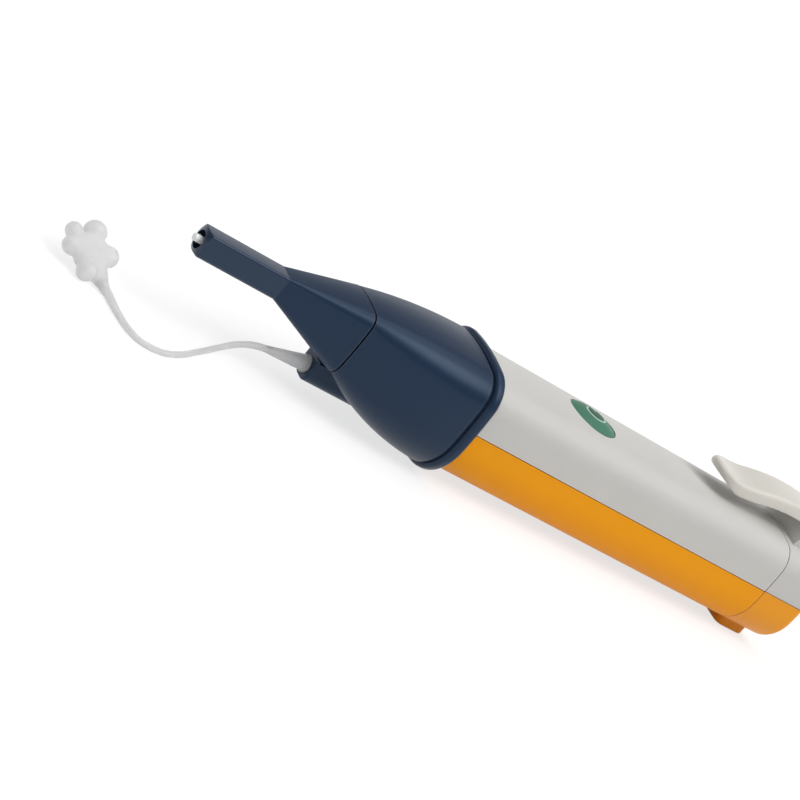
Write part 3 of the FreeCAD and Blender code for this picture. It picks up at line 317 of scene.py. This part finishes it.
def two_shot(name, upper, lower, parting, settings):
    """Moulding in two colours that meet at a fine groove at the parting height."""
    finish = Finish.named(name)
    fine = finish.noise(CASE_GRAIN, detail=3.0, rough=0.6)
    cloud = finish.noise(CLOUD_SIZE, detail=3.0)
    height = finish.along("Z")
    share = height.above(parting, GROOVE_EDGE / 2)
    away = finish.node("ShaderNodeMath", {"operation": "ABSOLUTE"}, {0: height - parting})
    groove = 1 - away.above(GROOVE_HALF, GROOVE_EDGE)
    edge = finish.edges(EDGE_RADIUS)
    tone = finish.mix(share, shade(lower, 1.0), shade(upper, 1.0))
    tone = finish.mix(cloud * 0.25, tone, finish.mix(share, shade(lower, 0.86), shade(upper, 0.92)))
    # Painted shade: the groove is also darkened in the base colour, as well as sunk in the relief.
    tone = finish.mix(groove * 0.7, tone, shade(upper, 0.12))
    # Painted highlight: edges turn paler in the base colour.
    tone = finish.mix(edge * 0.25, tone, shade([part * 0.6 + 0.3 for part in upper], 1.0))
    roughness = 0.44 + (cloud - 0.5) * 0.10 + (fine - 0.5) * 0.14
    relief = finish.bump(fine * 0.25 - groove * 4.0, settings.grain_depth)
    return finish.surface(Base_Color=tone, Roughness=roughness, Normal=relief, Specular_IOR_Level=0.3)


def clear_rubber(name, colour, settings):
    """Milky, half-clear soft moulding with a faint flow pattern and a waxy skin."""
    finish = Finish.named(name)
    cloud = finish.noise(TETHER_CLOUD, detail=3.0)
    fine = finish.noise(TETHER_GRAIN)
    tone = finish.mix(cloud, shade(colour, 0.95), shade(colour, 1.05))
    roughness = 0.36 + (cloud - 0.5) * 0.16 + (fine - 0.5) * 0.1
    relief = finish.bump(cloud + fine * 0.3, TETHER_RELIEF)
    skin = finish.shader(
        Base_Color=tone, Roughness=roughness, Normal=relief, Specular_IOR_Level=0.42,
        Subsurface_Weight=1.0, Subsurface_Radius=(1.0, 1.0, 1.0), Subsurface_Scale=settings.tether_depth)
    glow = finish.node("ShaderNodeBsdfTranslucent", None, {
        "Color": shade(colour, 1.15), "Normal": relief})
    both = finish.node("ShaderNodeMixShader", None, {0: settings.tether_glow, 1: skin, 2: glow})
    return finish.close(both)


def hard_gloss(name, colour, rough, grain, depth):
    """Smooth finish with faint unevenness, for ceramic, ink, lamps and the bodies of parts."""
    finish = Finish.named(name)
    cloud = finish.noise(GLOSS_CLOUD, detail=3.0)
    fine = finish.noise(grain, detail=3.0, rough=0.6)
    edge = finish.edges(EDGE_RADIUS / 2)
    tone = finish.mix(cloud, shade(colour, 0.94), shade(colour, 1.06))
    # Painted highlight: edges turn paler in the base colour.
    tone = finish.mix(edge * 0.3, tone, shade([part * 0.7 + 0.2 for part in colour], 1.0))
    roughness = rough + (cloud - 0.5) * 0.12 + (fine - 0.5) * 0.1
    return finish.surface(Base_Color=tone, Roughness=roughness, Normal=finish.bump(fine, depth))


def brushed(name, colour, rough):
    """Metal strip or can with fine marks along its length."""
    finish = Finish.named(name)
    drawn_out = finish.place(scale=(0.06, 1.0, 1.0))
    marks = finish.noise(METAL_MARK, detail=4.0, rough=0.7, place=drawn_out)
    cloud = finish.noise(METAL_CLOUD, detail=3.0)
    tone = finish.mix(marks, shade(colour, 0.86), shade(colour, 1.1))
    roughness = rough + (marks - 0.5) * 0.2 + (cloud - 0.5) * 0.1
    return finish.surface(Base_Color=tone, Roughness=roughness, Metallic=1.0,
                          Normal=finish.bump(marks, METAL_RELIEF))


def circuit(name, mask, copper):
    """Solder mask over copper tracks that run in steps along and across the board."""
    finish = Finish.named(name)
    cloud = finish.noise(BOARD_CLOUD, detail=3.0)
    along = finish.node("ShaderNodeTexWave", {"wave_type": "BANDS", "bands_direction": "Y"}, {
        "Vector": finish.place(), "Scale": 1 / TRACK_SIZE, "Distortion": 2.5, "Detail": 0.0,
        "Detail Scale": 0.4})
    cells = finish.node("ShaderNodeTexVoronoi", {"distance": "CHEBYCHEV"}, {
        "Vector": finish.place(), "Scale": 1 / TRACK_PATCH}, out="Color")
    patch = finish.node("ShaderNodeSeparateColor", None, {"Color": cells}).above(0.55, 0.02)
    track = along.above(0.72, 0.04) * patch
    holes = finish.specks(HOLE_CELL, HOLE_DOT)
    tone = finish.mix(cloud, shade(mask, 0.9), shade(mask, 1.1))
    tone = finish.mix(track * 0.75, tone, shade(mask, 1.9))
    tone = finish.mix(holes, tone, shade(copper, 1.0))
    return finish.surface(
        Base_Color=tone, Roughness=0.3 + cloud * 0.1, Metallic=holes * 0.9,
        Normal=finish.bump(track + holes * 0.4, BOARD_RELIEF))


def cell_wrap(name, jacket, band, start, end):
    """Printed sleeve of a dry cell, with a metal band towards one end and bare metal ends."""
    finish = Finish.named(name)
    along = finish.along("X")
    low = along.above(start + CELL_END, SLEEVE_EDGE)
    high = 1 - along.above(end - CELL_END, SLEEVE_EDGE)
    sleeve = low * high
    ring = along.above(end - CELL_BAND, SLEEVE_EDGE * 2)
    fine = finish.noise(SLEEVE_GRAIN, detail=3.0)
    cloud = finish.noise(SLEEVE_CLOUD)
    tone = finish.mix(ring, shade(jacket, 1.0), shade(band, 1.0))
    tone = finish.mix(cloud * 0.3, tone, shade(jacket, 1.4))
    tone = finish.mix(sleeve, CELL_METAL, tone)
    roughness = 0.26 + (cloud - 0.5) * 0.1 + fine * 0.06
    return finish.surface(
        Base_Color=tone, Roughness=roughness, Metallic=1 - sleeve * 0.85,
        Normal=finish.bump(fine + sleeve * 2.0, SLEEVE_RELIEF))


def dress(material, *nodes):
    """Give CAD nodes a finish."""
    for name in nodes:
        piece = NODES[name]
        piece.data.materials.clear()
        piece.data.materials.append(material)


def finished_mesh(name, form, material, body, smooth=True):
    """Turn a bmesh into a piece that rides on a body."""
    bmesh.ops.remove_doubles(form, verts=form.verts, dist=1e-7)
    bmesh.ops.recalc_face_normals(form, faces=form.faces)
    for face in form.faces:
        face.smooth = smooth
    mesh = bpy.data.meshes.new(name)
    form.to_mesh(mesh)
    form.free()
    piece = bpy.data.objects.new(name, mesh)
    bpy.context.scene.collection.objects.link(piece)
    piece.data.materials.append(material)
    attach(piece, body)
    return piece


def softened(node, voxel, passes, material, body):
    """A piece with a node's form whose edges and hollows are rounded, in the node's place."""
    form = bmesh.new()
    form.from_mesh(NODES[node].data)
    piece = finished_mesh(node + "_skin", form, material, body)
    rebuilt = piece.modifiers.new("skin", "REMESH")
    rebuilt.mode = "VOXEL"
    rebuilt.voxel_size = voxel
    rebuilt.use_smooth_shade = True
    rounded = piece.modifiers.new("soften", "SMOOTH")
    rounded.factor = 0.5
    rounded.iterations = passes
    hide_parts(node)
    return piece


def colour_prop(name, words, default):
    """A colour that a user can change."""
    return FloatVectorProperty(name=name, description=words, default=default, subtype="COLOR", size=3,
                               min=0.0, max=1.0)


class DetectorColours(bpy.types.PropertyGroup):
    """Colours of the tool's mouldings."""

    navy: colour_prop("Navy", "Nozzle and hood", (0.0125, 0.0283, 0.062))
    white: colour_prop("White", "Upper case", (0.610, 0.600, 0.575))
    orange: colour_prop("Orange", "Lower case", (0.920, 0.352, 0.003))
    green: colour_prop("Green", "Push button", (0.067, 0.204, 0.135))
    mark: colour_prop("Mark", "Power mark on the button", (0.48, 0.62, 0.54))
    cream: colour_prop("Cream", "Pocket clip", (0.710, 0.682, 0.625))
    clear: colour_prop("Clear", "Tether and dust cap", (0.82, 0.82, 0.82))
    ceramic: colour_prop("Ceramic", "Pickup rod", (0.97, 0.98, 1.0))


class DetectorSizes(bpy.types.PropertyGroup):
    """Sizes and depths of what is added to the solids."""

    strap_width: FloatProperty(name="Strap width", description="Width of the strap's middle",
                               default=0.00126, min=0.0004, unit="LENGTH")
    crown_radius: FloatProperty(name="Crown radius", description="Radius of the button's domed crown",
                                default=0.01404, min=0.006, unit="LENGTH")
    strap_sides: IntProperty(name="Strap sides", description="Roundness of the strap", default=6, min=2)
    mark_radius: FloatProperty(name="Mark radius", description="Radius of the power mark's ring",
                               default=0.0024, min=0.0005, unit="LENGTH")
    mark_width: FloatProperty(name="Mark width", description="Width of the power mark's line",
                              default=0.00042, min=0.0001, unit="LENGTH")
    mark_proud: FloatProperty(name="Mark height", description="How far the power mark stands proud",
                              default=0.00005, min=0.0, unit="LENGTH")
    grain_depth: FloatProperty(name="Grain depth", description="Relief of the moulded grain",
                               default=0.00003, min=0.0, unit="LENGTH")
    tether_depth: FloatProperty(name="Tether depth", description="How deep light goes into the tether",
                                default=0.0055, min=0.0, unit="LENGTH")
    tether_glow: FloatProperty(name="Tether glow",
                               description="Share of the light that passes through the tether",
                               default=0.5, min=0.0, max=1.0, subtype="FACTOR")
    dust: FloatProperty(name="Dust", description="Share of the specks that show",
                        default=0.5, min=0.0, max=1.0, subtype="FACTOR")
    cap_voxel: FloatProperty(name="Cap fineness", description="Grid of the dust cap's rounded skin",
                             default=0.00022, min=0.0001, unit="LENGTH")
    cap_rounding: IntProperty(name="Cap rounding", description="Passes that round the dust cap's hollows",
                              default=26, min=0)
    clip_rounding: IntProperty(name="Clip rounding", description="Passes that round the clip's edges",
                               default=14, min=0)


class DETECTOR_OT_stage(bpy.types.Operator):
    """Camera, pale floor, white surround and soft lamps"""

    bl_idname = "detector.stage"
    bl_label = "Studio"

    def execute(self, context):
        scene = context.scene
        scene.view_settings.view_transform = "Standard"
        right = Vector(CAMERA_RIGHT).normalized()
        up = Vector(CAMERA_UP)
        up = (up - right * up.dot(right)).normalized()
        turn = Matrix((right, up, right.cross(up))).transposed()
        lens = bpy.data.cameras.new("camera")
        lens.lens = CAMERA_LENS
        lens.sensor_width = SENSOR_WIDTH
        lens.clip_start = CAMERA_NEAR
        camera = bpy.data.objects.new("camera", lens)
        camera.matrix_world = Matrix.Translation(CAMERA_PLACE) @ turn.to_4x4()
        scene.collection.objects.link(camera)
        scene.camera = camera
        self.add_floor(scene)
        self.add_world(scene)
        self.add_key(scene)
        return {"FINISHED"}

    def add_floor(self, scene):
        """Wide pale floor that keeps the shadow and shows white to the camera."""
        form = bmesh.new()
        bmesh.ops.create_grid(form, x_segments=1, y_segments=1, size=FLOOR_HALF)
        mesh = bpy.data.meshes.new("floor")
        form.to_mesh(mesh)
        form.free()
        floor = bpy.data.objects.new("floor", mesh)
        scene.collection.objects.link(floor)
        finish = Finish.named("floor")
        lit = finish.node("ShaderNodeBsdfDiffuse", None, {"Color": FLOOR_COLOUR})
        white = finish.node("ShaderNodeEmission", None, {"Color": WHITE, "Strength": FLOOR_LIFT})
        seen = finish.node("ShaderNodeMixShader", None, {0: FLOOR_SHADE, 1: white, 2: lit})
        mesh.materials.append(finish.close(
            finish.node("ShaderNodeMixShader", None, {0: self.seen_rays(finish), 1: lit, 2: seen})))

    def seen_rays(self, finish):
        """1 for rays from the camera and for those seen in gloss or through clear parts."""
        camera = finish.node("ShaderNodeLightPath", out="Is Camera Ray")
        gloss = finish.node("ShaderNodeLightPath", out="Is Glossy Ray")
        through = finish.node("ShaderNodeLightPath", out="Is Transmission Ray")
        total = camera + gloss + through
        return finish.node("ShaderNodeMath", {"operation": "MINIMUM"}, {0: total, 1: 1.0})

    def add_world(self, scene):
        """Soft light from all round, with a panel overhead and a low bright wall behind the tool."""
        surround = Finish(bpy.data.worlds.new("surround"), "ShaderNodeOutputWorld")
        way = surround.node("ShaderNodeTexCoord", out="Generated")
        height = surround.node("ShaderNodeSeparateXYZ", None, {"Vector": way}, out="Z")
        behind = surround.node("ShaderNodeVectorMath", {"operation": "DOT_PRODUCT"}, {
            0: way, 1: Vector(WALL_FROM).normalized()}, out="Value")
        panel = height.above(*PANEL_EDGE)
        wall = behind.above(*WALL_SIDE_EDGE) * (1 - height.above(*WALL_TOP_EDGE))
        level = SURROUND_LEVEL + panel * PANEL_LEVEL + wall * WALL_LEVEL
        scene.world = surround.close(surround.node("ShaderNodeBackground", None, {
            "Color": WHITE, "Strength": level}))

    def add_key(self, scene):
        """Broad lamp above the near side, far enough off to light the whole floor evenly."""
        lamp = bpy.data.lights.new("key", "SUN")
        lamp.energy = KEY_LEVEL * math.pi
        lamp.angle = KEY_SPREAD
        holder = bpy.data.objects.new("key", lamp)
        holder.matrix_world = Vector(KEY_FROM).to_track_quat("Z", "Y").to_matrix().to_4x4()
        scene.collection.objects.link(holder)


class DETECTOR_OT_tether(bpy.types.Operator):
    """Strap, plug and lobed dust cap, one clear soft moulding"""

    bl_idname = "detector.tether"
    bl_label = "Tether"

    def execute(self, context):
        sizes = context.scene.detector_sizes
        colours = context.scene.detector_colours
        skin = clear_rubber("clear_tether", colours.clear, sizes)
        dress(skin, "tether_plug")
        cap = softened("dust_cap", sizes.cap_voxel, sizes.cap_rounding, skin, "tool")
        strap = self.make_strap(context, sizes, skin)
        return {"FINISHED"}

    def make_strap(self, context, sizes, skin):
        """Round strap that thickens into the plug's cone and the cap's neck."""
        line = bpy.data.curves.new("tether_strap_skin", "CURVE")
        line.dimensions = "3D"
        spline = line.splines.new("NURBS")
        spline.points.add(len(STRAP_ROUTE) - 1)
        for point, (place, width) in zip(spline.points, STRAP_ROUTE):
            point.co = (*place, 1.0)
            point.radius = width
        spline.order_u = 3
        spline.use_endpoint_u = True
        spline.resolution_u = 10
        line.bevel_depth = sizes.strap_width / 2
        line.bevel_resolution = sizes.strap_sides
        line.use_fill_caps = True
        strap = bpy.data.objects.new("tether_strap_skin", line)
        context.scene.collection.objects.link(strap)
        line.materials.append(skin)
        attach(strap, "tool")
        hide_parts("tether_strap")
        return strap


class DETECTOR_OT_nose(bpy.types.Operator):
    """Navy nozzle and hood, and the white pickup rod"""

    bl_idname = "detector.nose"
    bl_label = "Nose"

    def execute(self, context):
        sizes = context.scene.detector_sizes
        colours = context.scene.detector_colours
        navy = moulded("navy_shell", colours.navy, rough=0.35, gloss=0.34, grain=0.00026,
                       depth=sizes.grain_depth * 0.4, edge_highlight=0.30, dust_share=sizes.dust, front=SNOUT_END,
                       tint=NAVY_SHEEN)
        dress(navy, "probe_nozzle", "hood_collar")
        rod = hard_gloss("white_ceramic", colours.ceramic, rough=0.22, grain=0.0003, depth=0.000004)
        dress(rod, "pickup_ferrule")
        return {"FINISHED"}


class DETECTOR_OT_case(bpy.types.Operator):
    """White and orange case halves, the tail cap and the cream clip"""

    bl_idname = "detector.case"
    bl_label = "Case"

    def execute(self, context):
        sizes = context.scene.detector_sizes
        colours = context.scene.detector_colours
        fine = sizes.grain_depth * 0.5
        white = moulded("white_shell", colours.white, rough=0.42, gloss=0.22, grain=CASE_GRAIN,
                        depth=fine, edge_highlight=0.15, dust_share=sizes.dust)
        dress(white, "upper_case")
        orange = moulded("orange_shell", colours.orange, rough=0.48, gloss=0.15, grain=CASE_GRAIN,
                         depth=fine, edge_highlight=0.15)
        dress(orange, "lower_case")
        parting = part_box("upper_case")[0].z
        dress(two_shot("tail_shell", colours.white, colours.orange, parting, sizes), "tail_cap")
        cream = moulded("cream_clip", colours.cream, rough=0.34, gloss=0.35, grain=0.0004,
                        depth=fine * 0.4, edge_highlight=0.20)
        softened("pocket_clip", sizes.cap_voxel, sizes.clip_rounding, cream, "clip")
        return {"FINISHED"}


class DETECTOR_OT_button(bpy.types.Operator):
    """Green push button with its raised power mark"""

    bl_idname = "detector.button"
    bl_label = "Push button"

    def execute(self, context):
        sizes = context.scene.detector_sizes
        colours = context.scene.detector_colours
        low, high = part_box("power_button")
        centre = (low + high) / 2
        # Painted shade: the button's colour is darker within the power mark's ring.
        inside = (centre.x, centre.y, sizes.mark_radius)
        green = moulded("green_button", colours.green, rough=0.46, gloss=0.25, grain=0.0002,
                        depth=sizes.grain_depth * 0.6, edge_highlight=0.30, shade_disc=inside)
        dress(green, "power_button")
        plunger = hard_gloss("plunger", (0.03, 0.03, 0.032), rough=0.5, grain=0.0002, depth=0.00001)
        dress(plunger, "switch_plunger")
        ink = hard_gloss("power_mark", colours.mark, rough=0.4, grain=0.0002, depth=0.00001)
        mark = self.mark_form(sizes, centre, high.z)
        finished_mesh("power_mark", mark, ink, "button", smooth=False)
        return {"FINISHED"}

    def mark_form(self, sizes, centre, top):
        """Ring with a gap on its far side and a bar in the gap, both laid on the button's crown."""
        form = bmesh.new()
        gap = math.radians(MARK_GAP_DEG)
        half = sizes.mark_width / 2
        ends = [form.verts.new((sizes.mark_radius + side * half, 0.0, 0.0)) for side in (-1, 1)]
        line = form.edges.new(ends)
        turn = Matrix.Rotation(math.radians(90) + gap / 2, 3, "Z")
        bmesh.ops.rotate(form, verts=ends, matrix=turn)
        bmesh.ops.spin(form, geom=[*ends, line], axis=(0, 0, 1), angle=2 * math.pi - gap,
                       steps=MARK_STEPS)
        bar = bmesh.ops.create_grid(form, x_segments=1, y_segments=MARK_BAR_STEPS, size=0.5)["verts"]
        size = Matrix.Diagonal((sizes.mark_width, sizes.mark_radius * MARK_BAR_LENGTH, 1.0, 1.0))
        middle = Matrix.Translation((0.0, sizes.mark_radius * MARK_BAR_MIDDLE, 0.0))
        bmesh.ops.transform(form, verts=bar, matrix=middle @ size)
        for vert in form.verts:
            fall = sizes.crown_radius - math.sqrt(sizes.crown_radius ** 2 - vert.co.xy.length_squared)
            vert.co.z = top - fall + sizes.mark_proud
        bmesh.ops.translate(form, verts=form.verts, vec=(centre.x, centre.y, 0.0))
        sunk = bmesh.ops.extrude_face_region(form, geom=form.faces[:])["geom"]
        bmesh.ops.translate(form, verts=[part for part in sunk if isinstance(part, bmesh.types.BMVert)],
                            vec=(0.0, 0.0, -MARK_SINK))
        return form


class DETECTOR_OT_works(bpy.types.Operator):
    """Board, cells, contacts and the rest inside"""

    bl_idname = "detector.works"
    bl_label = "Inner works"

    def execute(self, context):
        dark = hard_gloss("dark_plastic", (0.020, 0.020, 0.022), rough=0.48, grain=0.00018, depth=0.00002)
        dress(dark, "detector_holder", "tact_switch", "microcontroller", "buzzer", "battery_tray",
              "contact_carrier")
        board = circuit("board", mask=(0.015, 0.120, 0.045), copper=(0.80, 0.62, 0.30))
        dress(board, "circuit_board")
        dress(brushed("metal_can", (0.56, 0.56, 0.57), rough=0.3), "photodiode", "board_screws")
        strip = brushed("spring_contact", (0.62, 0.60, 0.55), rough=0.26)
        dress(strip, "bridge_contact", "front_contact_positive", "front_contact_negative")
        fired = hard_gloss("capacitor", (0.36, 0.24, 0.13), rough=0.4, grain=0.0002, depth=0.00001)
        dress(fired, "board_capacitors")
        lens = hard_gloss("lamp", (0.80, 0.80, 0.70), rough=0.12, grain=0.0003, depth=0.000004)
        dress(lens, "indicator_led")
        for name in ("battery_near", "battery_far"):
            low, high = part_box(name)
            wrap = cell_wrap("cell_" + name, jacket=(0.035, 0.036, 0.040), band=(0.66, 0.42, 0.16),
                             start=low.x, end=high.x)
            dress(wrap, name)
        return {"FINISHED"}


OPERATORS = (
    DETECTOR_OT_stage,
    DETECTOR_OT_tether,
    DETECTOR_OT_nose,
    DETECTOR_OT_case,
    DETECTOR_OT_button,
    DETECTOR_OT_works,
)


class DETECTOR_PT_panel(bpy.types.Panel):
    """Sizes, colours and pieces of the detector"""

    bl_idname = "DETECTOR_PT_panel"
    bl_label = "Live fibre detector"
    bl_space_type = "VIEW_3D"
    bl_region_type = "UI"
    bl_category = "Detector"

    def draw(self, context):
        for group in (context.scene.detector_colours, context.scene.detector_sizes):
            for name in group.__annotations__:
                self.layout.prop(group, name)
        for operator in OPERATORS:
            self.layout.operator(operator.bl_idname)


CLASSES = (DetectorColours, DetectorSizes, *OPERATORS, DETECTOR_PT_panel)


def register():
    for cls in CLASSES:
        bpy.utils.register_class(cls)
    bpy.types.Scene.detector_colours = PointerProperty(type=DetectorColours)
    bpy.types.Scene.detector_sizes = PointerProperty(type=DetectorSizes)


def unregister():
    del bpy.types.Scene.detector_sizes
    del bpy.types.Scene.detector_colours
    for cls in reversed(CLASSES):
        bpy.utils.unregister_class(cls)


def main():
    register()
    bpy.ops.detector.stage()
    bpy.ops.detector.tether()
    bpy.ops.detector.nose()
    bpy.ops.detector.case()
    bpy.ops.detector.button()
    bpy.ops.detector.works()


if __name__ == "__main__":
    main()
